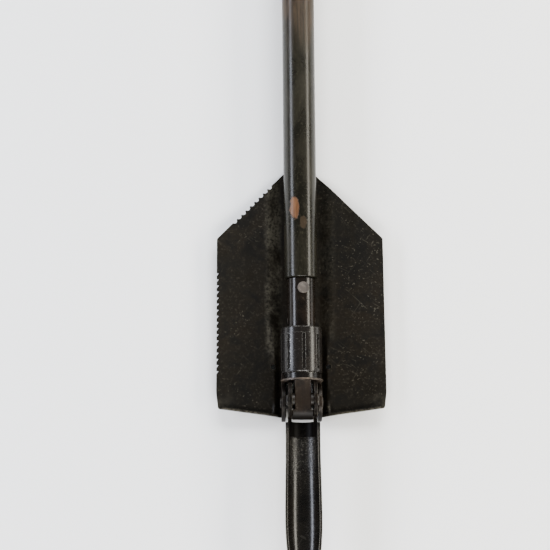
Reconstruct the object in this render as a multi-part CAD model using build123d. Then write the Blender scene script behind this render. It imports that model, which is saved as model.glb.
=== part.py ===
"""Folding camp shovel: pointed steel blade, folding pick, wooden handle.

Millimetres.  Everything is drawn about the hinge: X runs across the
tool, +Y runs up the handle, +Z points away from the ground when the
tool lies on the back of its blade.  The last lines move each piece to
the shared origin, the bottom centre of the whole tool.
Drawn state: blade folded behind the handle, pick straight out.
"""
import math
import os

from build123d import *

os.makedirs("parts", exist_ok=True)

# ---- driving dimensions -------------------------------------------------
GRIP_R = 14.5            # wooden handle radius
GRIP_END = 486.0         # far end of the handle above the hinge line
SHOULDER = 108.4         # wood shoulder that butts on the ferrule
FERRULE_R = 12.25
TENON_R = 10.4           # wood tenon and steel spigot inside the ferrule
SPIGOT_TOP = 80.0

STEM_R = 14.0            # stem that carries the lock nut
STEM_LOW = 17.4
STEM_TOP = 58.2
NUT_R = 18.0
NUT_LOW = 24.0           # underside of the nut's lower rim
NUT_TOP = 64.6
NUT_NECK_R = 15.3
NUT_COLLAR = 6.0         # smooth collar above the grip grooves
NUT_GROOVES = 8
GROOVE_TURN = 4.4        # first groove, degrees round from the front
RING_R = 18.6
RING_LOW, RING_TOP = 17.2, 19.0

PIN_R = 3.0
PIN_FIT = 0.08           # running clearance round each hinge pin
PICK_PIN_Z = 12.7        # pick pin is in front of the handle axis
BLADE_PIN_Z = -12.7      # blade pin is behind it
TONGUE_X = 7.0           # half thickness of the hinge block's tongue
TONGUE_Z = 18.5
FOOT_X, FOOT_TOP = 9.2, -9.0   # the tongue's lower end fills the gap
PICK_EAR_X = (9.5, 12.7)
BLADE_EAR_X = (14.3, 17.6)
PICK_EAR_R = 15.4
BLADE_EAR_R = 17.0
EAR_BREAK = 0.4          # chamfer round both sides of each ear

BLADE_W = 150.0          # width at the step edge
BLADE_SHOULDER_W = 148.0
BLADE_SHOULDER_Y = 147.0
BLADE_TIP_Y = 222.0      # where the two tip edges would meet
BLADE_T = 1.8
FLOOR_Z = -21.2          # front face of the flute floor
FLUTE_RISE = 4.5         # height of the flute's sloping sides
WING_RISE = 5.7          # extra lift of the blade's outer edges
STEP_Y, ROOT_Y = -5.0, -12.0
STEP_ROOT_X = 19.0       # inner end of each step edge
ROOT_SLOT_X, ROOT_SLOT_Y = 13.3, 21.0
HOLE_R = 2.25
HOLE_X, HOLE_Y = 24.5, 32.3

PICK_ROOT = 19.2         # start of the pick channel below the hinge
PICK_TIP = 205.0
PICK_T = 2.2             # side wall of the channel
PICK_WEB_T = 2.3

LOW_Z = FLOOR_Z - BLADE_T           # the tool lies on this plane
MID_Y = (GRIP_END - PICK_TIP) / 2


# ---- helpers ------------------------------------------------------------
def rod(r, start, end, along="Y", at=(0, 0)):
    """A cylinder along one axis; `at` is its place on the other two."""
    mid, length = (start + end) / 2, end - start
    if along == "X":
        return Pos(mid, at[0], at[1]) * Rot(0, 90, 0) * Cylinder(r, length)
    if along == "Y":
        return Pos(at[0], mid, at[1]) * Rot(90, 0, 0) * Cylinder(r, length)
    return Pos(at[0], at[1], mid) * Cylinder(r, length)


def block(x, y, z):
    """A box given by its (low, high) range on each axis."""
    size = [b - a for a, b in (x, y, z)]
    mid = [(a + b) / 2 for a, b in (x, y, z)]
    return Pos(*mid) * Box(*size)


def plate(outline, x):
    """A side plate: a (Y, Z) outline given thickness along X."""
    face = Plane.YZ.offset(x[0]) * outline
    return extrude(face, amount=x[1] - x[0], dir=(1, 0, 0))


def softened(body, size):
    """Break the edges of a side plate's two flat faces."""
    ends = body.faces().filter_by(Axis.X).sort_by(Axis.X)
    return chamfer(ends[0].edges() + ends[-1].edges(), size)


def turned(points):
    """A solid turned about the handle axis from (radius, y) points."""
    return revolve(make_face(Polyline(*points, close=True)), axis=Axis.Y)


def both_sides(x):
    """The left and right X ranges of a piece that comes in pairs."""
    return (("left", (-x[1], -x[0])), ("right", x))


# ---- handle -------------------------------------------------------------
RIVET_Y, RIVET_TURN = 99.0, 7.0
SPIGOT_PIN_Y = 71.0


def handle_rivet():
    body = rod(2.2, -FERRULE_R - 0.9, FERRULE_R + 1.0, "Z", (0, RIVET_Y))
    for low in (-FERRULE_R - 1.0, FERRULE_R - 0.4):
        head = rod(5.1, low, low + 1.4, "Z", (0, RIVET_Y))
        rim = head.faces().sort_by(Axis.Z)[-1 if low > 0 else 0]
        body += fillet(rim.edges(), 0.5)
    return Rot(0, RIVET_TURN, 0) * body


def handle():
    wood = rod(GRIP_R, SHOULDER, GRIP_END)
    ends = wood.edges().sort_by(Axis.Y)
    wood = fillet(ends[-1], 9.5)
    wood = fillet(wood.edges().group_by(Axis.Y)[0], 1.4)
    wood += rod(TENON_R, SPIGOT_TOP + 0.2, SHOULDER + 1)
    return wood - handle_rivet()


def ferrule():
    tube = rod(FERRULE_R, STEM_TOP + 0.3, SHOULDER)
    tube = fillet(tube.edges().group_by(Axis.Y)[-1], 0.8)
    tube -= rod(TENON_R, STEM_TOP, SHOULDER + 1)
    return tube - handle_rivet() - spigot_pin()


def spigot_pin():
    """Flush cross pin holding the ferrule on the hinge block's spigot."""
    core = rod(2.5, -FERRULE_R - 1, FERRULE_R + 1, "X", (SPIGOT_PIN_Y, 0))
    return core & rod(FERRULE_R, SPIGOT_PIN_Y - 5, SPIGOT_PIN_Y + 5)


def hinge_block():
    """Tongue between the ears, nut stem above it, spigot on top."""
    side = make_face(Polyline((16.8, TONGUE_Z), (-18.4, TONGUE_Z),
                              (-12.6, -TONGUE_Z), (16.8, -TONGUE_Z),
                              close=True))
    for z, r in ((TONGUE_Z, 8.5), (-TONGUE_Z, 8.0)):
        corner = [v for v in side.vertices()
                  if v.X < 0 and abs(v.Y - z) < 0.01]
        side = fillet(corner, r)
    body = softened(plate(side, (-TONGUE_X, TONGUE_X)), 0.6)
    foot = softened(plate(side, (-FOOT_X, FOOT_X)), 0.6)
    body += foot & block((-20, 20), (-30, FOOT_TOP), (-30, 30))
    body += block((-TONGUE_X, TONGUE_X), (0, STEM_LOW + 2), (-11.8, 11.8))
    stem = rod(STEM_R, STEM_LOW, STEM_TOP)
    body += chamfer(stem.edges().group_by(Axis.Y)[-1], 1.0)
    body += rod(TENON_R, STEM_TOP - 1, SPIGOT_TOP)
    for z in (PICK_PIN_Z, BLADE_PIN_Z):
        body -= rod(PIN_R, -20, 20, "X", (0, z))
    return body - spigot_pin()


# ---- lock nut -----------------------------------------------------------
def lock_nut():
    bore, collar_bore = STEM_R + 0.25, FERRULE_R + 0.3
    collar_low = NUT_TOP - NUT_COLLAR
    body = turned([
        (bore, RING_TOP + 0.1), (NUT_NECK_R, RING_TOP + 0.1),
        (NUT_NECK_R, NUT_LOW), (NUT_R - 1.4, NUT_LOW),
        (NUT_R - 0.4, NUT_LOW + 0.5), (NUT_R, NUT_LOW + 1.5),
        (NUT_R, collar_low), (NUT_R - 0.3, collar_low + 0.4),
        (NUT_R - 0.3, NUT_TOP - 1.0), (NUT_R - 1.2, NUT_TOP),
        (collar_bore, NUT_TOP), (collar_bore, collar_low),
        (bore, collar_low)])
    low, high = NUT_LOW + 2.8, collar_low - 0.4
    slot = SlotOverall(high - low, 3.0, rotation=90)
    cut = extrude(Pos(0, (low + high) / 2, NUT_R - 1.1) * slot, amount=4)
    for k in range(NUT_GROOVES):
        turn = GROOVE_TURN + 360 / NUT_GROOVES * k
        body -= Rot(0, turn, 0) * cut
    return body


def thrust_ring():
    ring = rod(RING_R, RING_LOW, RING_TOP)
    ring = fillet(ring.edges(), 0.4)
    return ring - rod(STEM_R + 0.4, RING_LOW - 1, RING_TOP + 1)


# ---- hinge hardware -----------------------------------------------------
def hinge_pin(z, reach, cap):
    """Pin with a low domed cap peened over the washer at each end."""
    body = rod(PIN_R, -reach, reach, "X", (0, z))
    for side in (-1, 1):
        low, high = sorted((side * reach, side * (reach + cap)))
        head = rod(4.6, low, high, "X", (0, z))
        rim = head.faces().sort_by(Axis.X)[-1 if side > 0 else 0]
        body += fillet(rim.edges(), cap * 0.7)
    return body


def bush(r, x, z):
    """Plain washer or sleeve fixed on a hinge pin."""
    body = rod(r, x[0], x[1], "X", (0, z))
    body = chamfer(body.edges(), 0.15)
    return body - rod(PIN_R, x[0] - 1, x[1] + 1, "X", (0, z))


def ear(r, z, flat):
    """Round ear with flats at right angles, in the (Y, Z) plane."""
    disc = Pos(0, z) * Circle(r)
    return disc & (Pos(0, z) * Rectangle(2 * flat, 2 * flat))


# ---- blade --------------------------------------------------------------
# half width of the flute's floor and of its flanks' top: root, body
FLOOR_X = (18.4, 16.0)
FLANK_X = (23.8, 30.5)
FLARE_Y = (44.0, 84.0)   # the flute widens between these
EDGE_X = 80.0


def ease(t):
    """Smooth step from 0 to 1."""
    t = min(1.0, max(0.0, t))
    return t * t * (3 - 2 * t)


def sheet_z(x, y):
    """Height of the blade's front face: flat floor, flank, wing."""
    flare = ease((y - FLARE_Y[0]) / (FLARE_Y[1] - FLARE_Y[0]))
    floor = FLOOR_X[0] + (FLOOR_X[1] - FLOOR_X[0]) * flare
    flank = FLANK_X[0] + (FLANK_X[1] - FLANK_X[0]) * flare
    rise = FLUTE_RISE * ease((abs(x) - floor) / (flank - floor))
    out = max(0.0, abs(x) - floor) / (EDGE_X - floor)
    return FLOOR_Z + rise + WING_RISE * out ** 1.5


def bent_sheet():
    """The pressed sheet, larger than the blade's outline."""
    steps = 54
    xs = [EDGE_X * k / steps for k in range(-steps, steps + 1)]
    ys = [-22 + 12 * k for k in range(22)]
    front = Face.make_surface_from_array_of_points(
        [[Vector(x, y, sheet_z(x, y)) for x in xs] for y in ys],
        tol=0.01)
    return extrude(front, amount=BLADE_T + 0.05, dir=(0, 0, -1))


def blade_outline():
    half, shoulder = BLADE_W / 2, BLADE_SHOULDER_W / 2
    points = [(0, BLADE_TIP_Y), (shoulder, BLADE_SHOULDER_Y),
              (half, STEP_Y + 14), (half - 1.6, STEP_Y),
              (STEP_ROOT_X, ROOT_Y)]
    mirror = [(-x, y) for x, y in reversed(points[1:])]
    face = make_face(Polyline(*(points + mirror), close=True))
    for y, r in ((BLADE_TIP_Y, 12), (BLADE_SHOULDER_Y, 3.5), (STEP_Y, 2.2)):
        corner = [v for v in face.vertices() if abs(v.Y - y) < 0.01]
        face = fillet(corner, r)
    slot = Pos(0, ROOT_SLOT_Y - 30) * RectangleRounded(
        2 * ROOT_SLOT_X, 60, 4)
    face -= slot
    for x in (-HOLE_X, HOLE_X):
        face -= Pos(x, HOLE_Y) * Circle(HOLE_R)
    return face


# saw teeth: count, pitch, depth, first notch
SAW = (17, 5.48, 2.0, 28.2)
TIP_SAW = (9, 5.6, 2.3, 22.8)


def side_teeth():
    """Notches of the saw on the left long edge."""
    count, pitch, depth, first = SAW
    cuts = []
    for k in range(count):
        y = first + k * pitch
        x = -BLADE_SHOULDER_W / 2 - 1.0 * (1 - y / BLADE_SHOULDER_Y)
        cuts.append(make_face(Polyline(
            (x - 1, y + 0.6), (x + depth, y), (x - 1, y - pitch + 1.6),
            close=True)))
    return cuts


def tip_teeth():
    """Round bites along the left tip edge."""
    count, pitch, r, first = TIP_SAW
    foot = (-BLADE_SHOULDER_W / 2, BLADE_SHOULDER_Y)
    run = math.hypot(foot[0], BLADE_TIP_Y - foot[1])
    ux, uy = -foot[0] / run, (BLADE_TIP_Y - foot[1]) / run
    cuts = []
    for k in range(count):
        s = first + k * pitch
        x = foot[0] + ux * s - 0.5 * uy
        y = foot[1] + uy * s + 0.5 * ux
        cuts.append(Pos(x, y) * Circle(r))
    return cuts


def step_lip(side):
    """Turned-up lip along one step edge, for the boot."""
    faces = []
    for k in range(5):
        x = STEP_ROOT_X + 1.5 + (BLADE_W / 2 - 7 - STEP_ROOT_X) * k / 4
        share = (x - STEP_ROOT_X) / (BLADE_W / 2 - 1.6 - STEP_ROOT_X)
        y = ROOT_Y + (STEP_Y - ROOT_Y) * share
        z = sheet_z(x, y) - BLADE_T
        shape = Rectangle(BLADE_T, 5.6, align=(Align.MIN, Align.MIN))
        plane = Plane(origin=(side * x, y, z), x_dir=(0, 1, 0),
                      z_dir=(1, 0, 0))
        faces.append(plane * shape)
    return loft(faces)


BLADE_RIVETS = [(x, y) for x in (-7.5, 7.5) for y in (28.5, 41.5)]
YOKE_TOP = FLOOR_Z + 2.2
YOKE_END = 48.0


def blade():
    outline = blade_outline()
    for cut in side_teeth() + tip_teeth():
        outline -= cut
    prism = extrude(Pos(0, 0, -40) * outline, amount=60)
    body = bent_sheet() & prism
    for side in (-1, 1):
        body += step_lip(side)
    # a true flat under the flute's floor
    body -= block((-40, 40), (-40, 240), (LOW_Z - 5, LOW_Z))
    return body - blade_rivets()


def blade_yoke():
    """U bracket on the blade: two ears and a riveted base."""
    body = block((-BLADE_EAR_X[1], BLADE_EAR_X[1]),
                 (ROOT_SLOT_Y + 1, YOKE_END), (FLOOR_Z, YOKE_TOP))
    side = ear(BLADE_EAR_R, BLADE_PIN_Z, 16.4)
    side &= Pos(0, 20 + FLOOR_Z) * Rectangle(60, 40)
    side += make_face(Polyline(
        (0, FLOOR_Z), (YOKE_END, FLOOR_Z), (YOKE_END, -17.6),
        (40, -15.6), (17.0, -13.4), (0, -13.4), close=True))
    for _, x in both_sides(BLADE_EAR_X):
        body += softened(plate(side, x), EAR_BREAK)
    body -= rod(PIN_R + PIN_FIT, -25, 25, "X", (0, BLADE_PIN_Z))
    return body - blade_rivets()


def blade_rivets():
    """Four rivets: low domes in front, flush cones behind."""
    body = None
    for x, y in BLADE_RIVETS:
        one = turned_up(2.4, 4.0, LOW_Z, YOKE_TOP, 0.7)
        one = Pos(x, y, 0) * one
        body = one if body is None else body + one
    return body


def turned_up(shank, head, low, high, dome):
    """Rivet along Z, flush countersunk below, low dome above."""
    body = rod(shank, low, high, "Z")
    cone = Pos(0, 0, low + 0.6) * Cone(head, shank, 1.2)
    cap = rod(head, high, high + dome, "Z")
    cap = fillet(cap.faces().sort_by(Axis.Z)[-1].edges(), dome * 0.7)
    return body + cone + cap


# ---- pick ---------------------------------------------------------------
PICK_ROOT_W, PICK_MAX_W = 15.0, 16.0     # half widths
PICK_SWELL = 105.0       # the widest place, then an ogive to the point
PICK_RIM_Z, PICK_WEB_Z = 11.6, -1.0
PICK_BEND = 100.0        # rims and web close on each other beyond this
HOLLOW_END = 188.0
PICK_RIVETS = ((0, -22.9), (0, -28.4))
PICK_YOKE_LOW = PICK_WEB_Z + PICK_WEB_T
PICK_YOKE_T, PICK_YOKE_RIM = 2.4, 8.6
PICK_YOKE_TOP = PICK_YOKE_LOW + PICK_YOKE_T
PICK_YOKE_END = 31.5


def pick_form(s):
    """Half width, rim Z and bottom Z at distance s from the hinge."""
    if s < PICK_SWELL:
        share = ease((s - 30) / (PICK_SWELL - 30))
        w = PICK_ROOT_W + (PICK_MAX_W - PICK_ROOT_W) * share
    else:
        share = (s - PICK_SWELL) / (PICK_TIP - PICK_SWELL)
        w = PICK_MAX_W - (PICK_MAX_W - 1.0) * share ** 1.71
    bend = max(0.0, (s - PICK_BEND) / (PICK_TIP - PICK_BEND))
    top = PICK_RIM_Z - 5.5 * bend ** 1.6
    low = PICK_WEB_Z + 5.1 * bend ** 1.5
    return w, top, low


def u_face(s, w, top, low, over=0.0):
    """Channel section at distance s: one arc from rim to rim.

    over carries the arc past the rims, for the hollow that is cut out.
    """
    depth = top - low
    r = (w * w + depth * depth) / (2 * depth)
    high = depth + over
    x, z = math.sqrt(high * (2 * r - high)), low + high
    arc = ThreePointArc((-x, z), (0, low), (x, z))
    return Plane.XZ.offset(s) * make_face([arc, Line((x, z), (-x, z))])


def pick_stations(start, end, count=20):
    return [start + (end - start) * k / count for k in range(count + 1)]


def pick():
    outer = [u_face(s, *pick_form(s))
             for s in pick_stations(PICK_ROOT, PICK_TIP)]
    hollow = []
    for s in pick_stations(PICK_ROOT - 3, HOLLOW_END):
        w, top, low = pick_form(s)
        close = max(0.0, (s - 120) / (HOLLOW_END - 120))
        w = max(0.9, w - PICK_T - 0.8 * close)
        depth = (top - low - PICK_WEB_T) * (1 - close ** 3) + 0.05
        hollow.append(u_face(s, w, top, top - depth, over=1.5))
    return loft(outer) - loft(hollow) - pick_rivets()


def saddle(gap):
    """The channel's inside at its root, drawn in by gap, as a prism."""
    start = PICK_ROOT - 0.4
    face = u_face(start, PICK_ROOT_W - PICK_T - gap,
                  PICK_RIM_Z, PICK_YOKE_LOW + gap)
    return extrude(face, amount=PICK_YOKE_END - start, dir=(0, -1, 0))


def pick_yoke():
    """Saddle nested in the pick's root, carrying its two ears."""
    inside = saddle(0.05)
    low = block((-20, 20), (-60, 20), (-20, PICK_YOKE_RIM))
    body = (inside - saddle(PICK_YOKE_T)) & low
    leg = make_face(Polyline(
        (-8, PICK_YOKE_LOW), (-PICK_YOKE_END, PICK_YOKE_LOW),
        (-PICK_YOKE_END, PICK_YOKE_RIM), (-8, PICK_YOKE_RIM), close=True))
    clear = block((-20, 20), (0.1 - PICK_ROOT, 20), (-20, 40))
    for _, span in both_sides(PICK_EAR_X):
        disc = softened(plate(ear(PICK_EAR_R, PICK_PIN_Z, 14.9), span),
                        EAR_BREAK)
        side = plate(leg, span)
        body += (disc & clear) + (side & clear) + (side & inside)
    body -= rod(PIN_R + PIN_FIT, -25, 25, "X", (0, PICK_PIN_Z))
    return body - pick_rivets()


def pick_rivets():
    body = None
    for x, y in PICK_RIVETS:
        one = Pos(x, y, 0) * turned_up(1.5, 2.2, PICK_WEB_Z - 0.25,
                                       PICK_YOKE_TOP - 0.3, 0.8)
        body = one if body is None else body + one
    return body


# ---- build and write ----------------------------------------------------
def build():
    pieces = {
        "handle": handle(), "ferrule": ferrule(),
        "handle_rivet": handle_rivet(), "spigot_pin": spigot_pin(),
        "hinge_block": hinge_block(), "lock_nut": lock_nut(),
        "thrust_ring": thrust_ring(),
        "blade": blade(), "blade_yoke": blade_yoke(),
        "blade_rivets": blade_rivets(),
        "blade_pin": hinge_pin(BLADE_PIN_Z, 18.2, 0.8),
        "pick": pick(), "pick_yoke": pick_yoke(),
        "pick_rivets": pick_rivets(),
        "pick_pin": hinge_pin(PICK_PIN_Z, 13.4, 0.9)}
    rows = (("blade_spacer", 5.2, (TONGUE_X, 14.2), BLADE_PIN_Z),
            ("blade_washer", 5.8, (17.7, 18.2), BLADE_PIN_Z),
            ("pick_spacer", 6.0, (TONGUE_X, 9.4), PICK_PIN_Z),
            ("pick_washer", 5.4, (12.8, 13.4), PICK_PIN_Z))
    for name, r, span, z in rows:
        for side, x in both_sides(span):
            pieces[f"{name}_{side}"] = bush(r, x, z)
    return pieces


for name, piece in build().items():
    placed = Pos(0, -MID_Y, -LOW_Z) * piece
    placed.label = name
    export_step(placed, f"parts/{name}.step")
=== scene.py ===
"""Looks for the folding camp shovel: worn painted steel, painted shade in the hinge,
olive-painted wood.
"""
import math

import bpy
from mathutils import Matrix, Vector


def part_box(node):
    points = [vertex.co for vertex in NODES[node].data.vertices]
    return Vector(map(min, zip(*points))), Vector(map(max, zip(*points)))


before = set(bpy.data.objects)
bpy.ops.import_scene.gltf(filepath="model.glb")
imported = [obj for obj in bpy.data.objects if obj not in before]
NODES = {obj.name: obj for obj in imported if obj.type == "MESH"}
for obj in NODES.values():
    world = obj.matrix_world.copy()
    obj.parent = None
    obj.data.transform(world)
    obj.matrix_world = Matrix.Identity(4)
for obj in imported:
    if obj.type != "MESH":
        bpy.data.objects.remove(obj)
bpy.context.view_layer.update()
MM = 0.001


# ---- places taken from the frame ------------------------------------------
def mid(node):
    low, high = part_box(node)
    return (low + high) / 2


HINGE_Y = mid("pick_pin").y
AXIS_Z = mid("handle").z
GRIP_R = (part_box("handle")[1].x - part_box("handle")[0].x) / 2
WOOD_FROM, WOOD_FULL = 0.27, 0.44    # paint worn to wood, up from the hinge
FLOOR_GAP = 0.0004                   # the floor lies just under the tool


# ---- a short way to write shader nodes -------------------------------------
class Shader:
    """One Principled material and the nodes that feed it."""

    def __init__(self, name, **fixed):
        self.mat = bpy.data.materials.new(name)
        self.mat.use_nodes = True
        self.tree = self.mat.node_tree
        self.bsdf = self.tree.nodes["Principled BSDF"]
        for socket, value in fixed.items():
            self.bsdf.inputs[socket.replace("_", " ")].default_value = value
        self.here = self.tree.nodes.new("ShaderNodeTexCoord").outputs["Object"]

    def node(self, kind, inputs=(), out=0, **settings):
        n = self.tree.nodes.new("ShaderNode" + kind)
        for key, value in settings.items():
            setattr(n, key, value)
        for key, value in dict(inputs).items():
            if isinstance(value, bpy.types.NodeSocket):
                self.tree.links.new(value, n.inputs[key])
            else:
                n.inputs[key].default_value = value
        return n.outputs[out]

    def scaled(self, x, y, z, move=(0, 0, 0)):
        """Object coordinates, in metres, stretched per axis."""
        return self.node("Mapping", {"Vector": self.here, "Scale": (x, y, z),
                                     "Location": move})

    def noise(self, scale, detail=4.0, rough=0.55, at=None, warp=0.0):
        return self.node("TexNoise", {
            "Vector": at or self.here, "Scale": scale, "Detail": detail,
            "Roughness": rough, "Distortion": warp})

    def math(self, op, a, b=0.0):
        return self.node("Math", {0: a, 1: b}, operation=op)

    def step(self, value, low, high):
        """0 below low, 1 above high, smooth between."""
        return self.node("MapRange", {
            "Value": value, "From Min": low, "From Max": high,
            "To Min": 0.0, "To Max": 1.0}, interpolation_type="SMOOTHSTEP")

    def span(self, value, low, high, to_low, to_high):
        return self.node("MapRange", {
            "Value": value, "From Min": low, "From Max": high,
            "To Min": to_low, "To Max": to_high})

    def mix(self, share, a, b):
        n = self.tree.nodes.new("ShaderNodeMix")
        n.data_type = "RGBA"
        for socket, value in ((n.inputs[0], share), (n.inputs[6], a),
                              (n.inputs[7], b)):
            if isinstance(value, bpy.types.NodeSocket):
                self.tree.links.new(value, socket)
            elif isinstance(value, (tuple, list)):
                socket.default_value = (*value, 1.0)
            else:
                socket.default_value = value
        return n.outputs[2]

    def split(self):
        n = self.tree.nodes.new("ShaderNodeSeparateXYZ")
        self.tree.links.new(self.here, n.inputs[0])
        return n.outputs

    def bump(self, height, depth, under=None):
        """Bump of a given depth in metres on top of another bump."""
        inputs = {"Height": height, "Distance": depth, "Strength": 1.0}
        if under is not None:
            inputs["Normal"] = under
        return self.node("Bump", inputs)

    def edges(self, radius, low=0.02, high=0.25):
        """1 on sharp edges within radius, 0 on open faces."""
        soft = self.node("Bevel", {"Radius": radius}, samples=6)
        hard = self.node("NewGeometry", out="Normal")
        dot = self.node("VectorMath", {0: soft, 1: hard}, out="Value",
                        operation="DOT_PRODUCT")
        return self.step(self.math("SUBTRACT", 1.0, dot), low, high)

    def any(self, *masks):
        return self.fold("MAXIMUM", masks)

    def all(self, *masks):
        return self.fold("MULTIPLY", masks)

    def fold(self, op, masks):
        total = masks[0]
        for m in masks[1:]:
            total = self.math(op, total, m)
        return total

    def spot(self, place, size, ragged=0.35, scale=260):
        """1 within a blot of the given half sizes, its border broken up."""
        at = self.scaled(*[1 / r for r in size],
                         move=[-c / r for c, r in zip(place, size)])
        away = self.node("VectorMath", {0: at}, out="Value",
                         operation="LENGTH")
        rim = self.math("MULTIPLY", self.noise(scale, 4, 0.6), ragged * 2)
        return self.math("SUBTRACT", 1.0, self.step(
            self.math("ADD", away, rim), 0.75 + ragged, 1.1 + ragged))

    def wire(self, **sockets):
        for socket, value in sockets.items():
            self.tree.links.new(
                value, self.bsdf.inputs[socket.replace("_", " ")])
        return self.mat


def scratches(s, turn, often=0.70, seed=0.0):
    """Sparse thin straight marks: noise drawn out along one direction."""
    turned = s.node("Mapping", {"Vector": s.here, "Rotation": (0, 0, turn)})
    at = s.node("Mapping", {"Vector": turned, "Scale": (1, 0.03, 1),
                            "Location": (seed, seed, 0)})
    line = s.step(s.noise(700, 1, 0.4, at=at), often, often + 0.05)
    return s.all(line, s.step(s.noise(26, 3, 0.6), 0.50, 0.60))


# ---- materials --------------------------------------------------------------
def painted_steel(name, paint, rust, bare, rough, edge=0.6, specks=0.5,
                  lines=0.5, relief=1.0, shine=0.5, extra=None, hinge_shade=None,
                  coarse=None):
    """Old dark paint on steel: mottled tone, dust, specks, worn edges.

    extra adds bare places and painted highlights, the hinge mask darkens with painted shade,
    coarse roughens: all are masks.
    """
    s = Shader(name, Specular_IOR_Level=shine)
    cloud = s.noise(11, 4, 0.6, warp=0.5)
    second = s.noise(60, 4, 0.65, warp=0.4)
    fine = s.noise(430, 4, 0.65)
    grit = s.noise(1500, 2, 0.55)
    tone = s.mix(s.step(cloud, 0.38, 0.66), paint, rust)
    tone = s.mix(s.all(s.step(second, 0.44, 0.66), 0.8), tone,
                 tuple(c * 0.35 for c in paint))
    dust = s.all(s.step(fine, 0.50, 0.70), s.step(second, 0.68, 0.36),
                 specks)
    tone = s.mix(dust, tone, tuple(c * 3.2 + 0.018 for c in paint))
    wear = s.edges(edge * MM, 0.015, 0.16)
    ragged = s.all(wear, s.step(fine, 0.38, 0.56))
    cuts = s.any(scratches(s, 0.62), scratches(s, -0.84, seed=0.17),
                 scratches(s, 2.05, seed=0.31))
    chips = s.all(s.step(s.noise(520, 1, 0.5), 0.66, 0.70),
                  s.step(s.noise(24, 3, 0.6), 0.42, 0.60))
    shown = s.any(ragged, s.all(cuts, lines), s.all(chips, specks))
    if extra:
        shown = s.any(shown, extra(s, fine))
    # Painted shade: darker paint, with no bare metal showing, in the hinge's recesses.
    if hinge_shade:
        shaded = hinge_shade(s, fine)
        tone = s.mix(shaded, tone, tuple(c * 0.25 for c in paint))
        shown = s.math("MULTIPLY", shown, s.math("SUBTRACT", 1.0, shaded))
    color = s.mix(shown, tone, bare)
    gloss = s.math("ADD", s.span(second, 0.3, 0.7, *rough),
                   s.all(s.step(grit, 0.4, 0.75), 0.10))
    normal = s.bump(cloud, 0.0006 * relief)
    normal = s.bump(second, 0.00012 * relief, normal)
    normal = s.bump(fine, 0.00006 * relief, normal)
    normal = s.bump(grit, 0.00002 * relief, normal)
    normal = s.bump(shown, -0.00004 * relief, normal)
    if coarse:
        rugged = coarse(s, fine)
        gloss = s.math("ADD", gloss, s.math("MULTIPLY", rugged, 0.06))
        normal = s.bump(s.all(s.noise(900, 2, 0.5), rugged), 0.0003, normal)
    return s.wire(Base_Color=color, Roughness=gloss,
                  Metallic=s.all(shown, 0.7), Normal=normal)


def rubbed_paint_and_sheen(s, fine):
    """Paint rubbed thin along the flute's crests and the step edges, plus painted sheen on
    the left flank's crest band and the outer lower corners.
    """
    x, y, z = s.split()
    wide = s.math("ABSOLUTE", x)
    off = s.math("ABSOLUTE", s.math("SUBTRACT", wide, 0.0240))
    crest_wear_and_sheen = s.step(off, 0.0095, 0.003)
    span = s.all(s.step(y, HINGE_Y + 0.02, HINGE_Y + 0.07),
                 s.step(s.noise(38, 4, 0.65), 0.34, 0.60))
    # The crest band is a painted highlight on the left flank, much stronger there than on
    # the right; the rest of it is rubbed paint.
    side = s.step(x, 0.01, -0.01)
    share = s.math("ADD", s.math("MULTIPLY", side, 0.75), 0.18)
    crest_wear_and_sheen = s.all(crest_wear_and_sheen, span, s.step(fine, 0.30, 0.6), share)
    slope = s.math("MULTIPLY", s.math("SUBTRACT", wide, 0.019), 0.1287)
    above = s.math("SUBTRACT", s.math("SUBTRACT", y, HINGE_Y - 0.012), slope)
    lip = s.all(s.step(above, 0.0017, 0.0004), s.step(fine, 0.36, 0.56),
                s.step(wide, 0.018, 0.045))
    # Painted sheen: the outer lower corners are lightened.
    corner_sheen = s.all(s.step(wide, 0.052, 0.074), s.step(above, 0.020, 0.003),
                   s.step(s.noise(90, 4, 0.65), 0.40, 0.62), 0.22)
    return s.any(crest_wear_and_sheen, lip, corner_sheen)


def root_pits(s, fine):
    """Rough casting where the pick leaves its hinge."""
    x, y, z = s.split()
    return s.step(y, HINGE_Y - 0.078, HINGE_Y - 0.040)


def rim_chips_and_glints(s, fine):
    """Chips along the pick's rims, and pale specks near its root painted as glints."""
    x, y, z = s.split()
    # Painted glints: pale specks deep in the channel near the root.
    glint_specks = s.step(s.noise(1050, 2, 0.5), 0.56, 0.62)
    near = s.step(y, HINGE_Y - 0.085, HINGE_Y - 0.038)
    deep = s.step(z, AXIS_Z + 0.0085, AXIS_Z + 0.006)
    rim = s.all(s.edges(0.0014, 0.02, 0.12), s.step(fine, 0.30, 0.46))
    return s.any(s.all(glint_specks, near, deep, 0.20), rim)


def shade_near_hinge(full, none):
    """Painted shade in the hinge: full at y = full, none from y = none on."""
    def mask(s, fine):
        x, y, z = s.split()
        ragged = s.math("ADD", y, s.math("MULTIPLY", fine, 0.0016))
        return s.all(s.step(ragged, HINGE_Y + none * MM,
                            HINGE_Y + full * MM), 0.9)
    return mask


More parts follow.
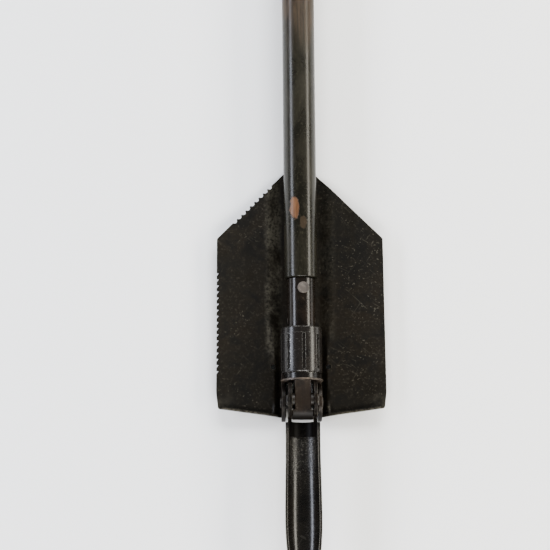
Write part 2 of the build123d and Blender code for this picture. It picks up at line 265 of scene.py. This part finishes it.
def grip_paint(name):
    """Dark olive paint over wood, rubbed to brown towards the grip end."""
    s = Shader(name, Coat_Weight=0.12, Coat_Roughness=0.12,
               Specular_IOR_Level=0.34)
    x, y, z = s.split()
    grain = s.noise(420, 6, 0.65, at=s.scaled(1, 0.05, 1), warp=0.6)
    figure = s.noise(75, 3, 0.5, at=s.scaled(1, 0.06, 1), warp=1.4)
    wood = s.mix(s.step(grain, 0.3, 0.7), (0.026, 0.0165, 0.0088),
                 (0.068, 0.044, 0.025))
    wood = s.mix(s.all(s.step(figure, 0.45, 0.7), 0.6), wood,
                 (0.019, 0.0125, 0.0072))
    raw = s.mix(s.step(grain, 0.3, 0.7), (0.075, 0.034, 0.015),
                (0.185, 0.092, 0.043))
    fine = s.noise(520, 3, 0.65)
    blot = s.noise(48, 4, 0.65, at=s.scaled(1, 0.35, 1), warp=0.5)
    paint = s.mix(s.step(blot, 0.35, 0.7), (0.0095, 0.0088, 0.0060),
                  (0.024, 0.0215, 0.0145))
    flecks = s.all(s.step(fine, 0.53, 0.68), 0.55)
    paint = s.mix(flecks, paint, (0.042, 0.039, 0.027))
    rubbed = s.math("ADD", s.step(y, HINGE_Y + WOOD_FROM, HINGE_Y + WOOD_FULL),
                    s.math("MULTIPLY", blot, 0.9))
    worn = s.all(s.step(rubbed, 0.62, 1.05), 0.85)
    color = s.mix(worn, paint, wood)
    low = s.all(s.step(grain, 0.60, 0.72), 0.35)
    color = s.mix(low, color, (0.01, 0.009, 0.006))
    front = AXIS_Z + GRIP_R
    bare = s.spot((-0.0056, HINGE_Y + 0.170, front), (0.0042, 0.011, 0.012),
                  ragged=0.55, scale=190)
    pale = s.spot((0.0023, HINGE_Y + 0.157, front), (0.0035, 0.006, 0.012),
                  ragged=0.6, scale=210)
    back = s.spot((0.006, HINGE_Y + 0.30, AXIS_Z - GRIP_R),
                  (0.005, 0.019, 0.010))
    rim = s.all(s.edges(0.0012, 0.02, 0.2), s.step(fine, 0.42, 0.6))
    color = s.mix(s.all(pale, 0.6), color, (0.06, 0.043, 0.028))
    color = s.mix(s.any(bare, back, s.all(rim, 0.6)), color, raw)
    gloss = s.math("ADD", s.span(blot, 0.3, 0.7, 0.22, 0.33),
                   s.all(s.any(bare, worn), 0.20))
    normal = s.bump(grain, 0.00003)
    normal = s.bump(fine, 0.000025, normal)
    normal = s.bump(s.any(bare, back), -0.00025, normal)
    return s.wire(Base_Color=color, Roughness=gloss, Normal=normal)


def dress(material, *nodes):
    for node in nodes:
        mesh = NODES[node].data
        mesh.materials.clear()
        mesh.materials.append(material)


dress(painted_steel("blade_paint", (0.0080, 0.0064, 0.0038),
                    (0.0118, 0.0087, 0.0050), (0.115, 0.107, 0.085),
                    (0.42, 0.56), specks=0.5, lines=0.25, shine=0.25,
                    extra=rubbed_paint_and_sheen), "blade", "blade_rivets")
dress(painted_steel("pick_paint", (0.0100, 0.0092, 0.0080),
                    (0.013, 0.0112, 0.009), (0.42, 0.40, 0.36),
                    (0.17, 0.27), edge=0.8, specks=0.06, lines=0.04,
                    relief=0.22, hinge_shade=shade_near_hinge(-20, -27),
                    extra=rim_chips_and_glints, coarse=root_pits), "pick")
dress(painted_steel("yoke_black", (0.0085, 0.0068, 0.0052),
                    (0.012, 0.009, 0.0068), (0.30, 0.27, 0.22),
                    (0.40, 0.52), edge=0.45, specks=0.1, lines=0.2,
                    relief=0.4, shine=0.12, hinge_shade=shade_near_hinge(-18, -15)),
      "pick_yoke", "pick_rivets")
dress(painted_steel("hinge_black", (0.020, 0.0145, 0.0105),
                    (0.027, 0.019, 0.0135), (0.26, 0.23, 0.19),
                    (0.40, 0.54), edge=0.5, specks=0.12, lines=0.1,
                    relief=0.4, shine=0.3, hinge_shade=shade_near_hinge(-13, -7)),
      "hinge_block", "blade_yoke")
dress(painted_steel("nut_black", (0.0115, 0.0100, 0.0088),
                    (0.017, 0.014, 0.0115), (0.55, 0.54, 0.50),
                    (0.20, 0.28), edge=0.45, specks=0.05, lines=0.0,
                    relief=0.12), "lock_nut")
dress(painted_steel("ferrule_paint", (0.0110, 0.0080, 0.0055),
                    (0.018, 0.0125, 0.0085), (0.25, 0.20, 0.15),
                    (0.17, 0.25), edge=0.5, specks=0.1, lines=0.1,
                    relief=0.12), "ferrule")
dress(painted_steel("rivet_steel", (0.075, 0.064, 0.055),
                    (0.10, 0.086, 0.074), (0.19, 0.175, 0.155),
                    (0.45, 0.6), edge=0.4), "handle_rivet", "spigot_pin")
dress(painted_steel("ring_steel", (0.060, 0.046, 0.035),
                    (0.08, 0.061, 0.045), (0.28, 0.25, 0.21),
                    (0.36, 0.5), edge=0.4), "thrust_ring")
dress(painted_steel("pin_steel", (0.018, 0.0145, 0.0115),
                    (0.026, 0.020, 0.015), (0.22, 0.20, 0.17),
                    (0.36, 0.48), edge=0.3, specks=0.15),
      *[n for n in NODES if n.endswith("_pin") and n != "spigot_pin"],
      *[n for n in NODES if "spacer" in n or "washer" in n])
dress(grip_paint("handle_paint"), "handle")


# ---- floor, light, camera ----------------------------------------------------
def floor():
    bpy.ops.mesh.primitive_plane_add(size=6, location=(0, 0, -FLOOR_GAP))
    plane = bpy.context.object
    plane.name = "floor"
    s = Shader("floor_sheet", Roughness=0.95, Specular_IOR_Level=0.1,
               Base_Color=(0.91, 0.91, 0.905, 1))
    plane.data.materials.append(s.mat)


def softbox(name, power, size, place, color, aim):
    light = bpy.data.lights.new(name, "AREA")
    light.energy, light.color = power, color
    light.shape, light.size, light.size_y = "RECTANGLE", *size
    box = bpy.data.objects.new(name, light)
    box.location = place
    look = Vector(aim) - Vector(place)
    box.rotation_euler = look.to_track_quat("-Z", "Y").to_euler()
    bpy.context.scene.collection.objects.link(box)


def lights():
    """Two narrow strips low at the sides, a wide box beyond each end."""
    mid_y = HINGE_Y + 0.2
    strip_out, strip_up, strip_length = 1.05, 0.60, 1.8
    window_power, window_size, window_up = 30.0, (1.6, 0.7), 1.1
    for name, side, power, width, color in (
            ("strip_left", -1, 17.0, 0.30, (0.84, 0.88, 1.0)),
            ("strip_right", 1, 17.0, 0.34, (1.0, 0.96, 0.87))):
        softbox(name, power, (strip_length, width),
                (side * strip_out, mid_y, strip_up),
                color, (0, mid_y, 0))
    softbox("window_far", window_power, window_size, (0.2, 1.25, window_up),
            (0.97, 0.99, 1.0), (0, 0, 0))
    softbox("window_near", window_power, window_size, (0.1, -1.35, window_up),
            (1.0, 0.99, 0.97), (0, 0, 0))
    world = bpy.data.worlds.new("studio")
    world.use_nodes = True
    back = world.node_tree.nodes["Background"]
    back.inputs["Color"].default_value = (1, 1, 1, 1)
    back.inputs["Strength"].default_value = 0.15
    bpy.context.scene.world = world
    view = bpy.context.scene.view_settings
    view.view_transform, view.look = "AgX", "AgX - Medium High Contrast"


def camera():
    """Close to straight above, a little towards the pick end."""
    aside, back, above = -0.0649, 0.1619, 1.5676     # from the hinge
    turn_deg = (9.92, -1.46, -0.45)
    cam = bpy.data.cameras.new("camera")
    cam.sensor_width, cam.lens = 36, 118
    eye = bpy.data.objects.new("camera", cam)
    eye.location = (aside, HINGE_Y - back, AXIS_Z + above)
    eye.rotation_euler = [math.radians(a) for a in turn_deg]
    bpy.context.scene.collection.objects.link(eye)
    bpy.context.scene.camera = eye


floor()
lights()
camera()
